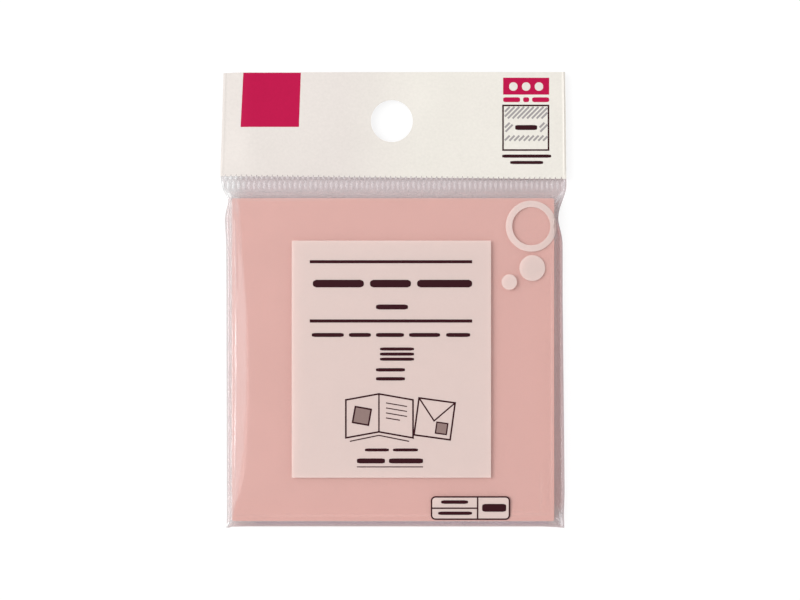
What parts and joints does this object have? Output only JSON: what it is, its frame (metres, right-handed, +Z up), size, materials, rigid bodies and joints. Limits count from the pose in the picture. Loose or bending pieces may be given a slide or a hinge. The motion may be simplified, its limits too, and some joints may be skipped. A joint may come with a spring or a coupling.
{
  "type": "sticky note pad in a header bag",
  "caption": "Square pad of pink sticky notes sealed in a clear flat bag, with a white header, a crimped heat seal and a round hang hole.",
  "frame": {"origin": "centre of the bag's footprint, on the surface that it lies on", "axes": "+Z up through the stack, from the back film to the front; +Y towards the header and its hang hole; +X to the right, seen from the front"},
  "size_m": [0.08, 0.1054, 0.0046],
  "materials": {
    "note_paper": "matt, uncoated",
    "release_paper": "satin, release coated",
    "clear_film": "gloss, clear, printed white across the header"
  },
  "bodies": {
    "root": {"note_pad": "note_paper", "backing_sheet": "release_paper", "header_bag": "clear_film"}
  },
  "joints": []
}
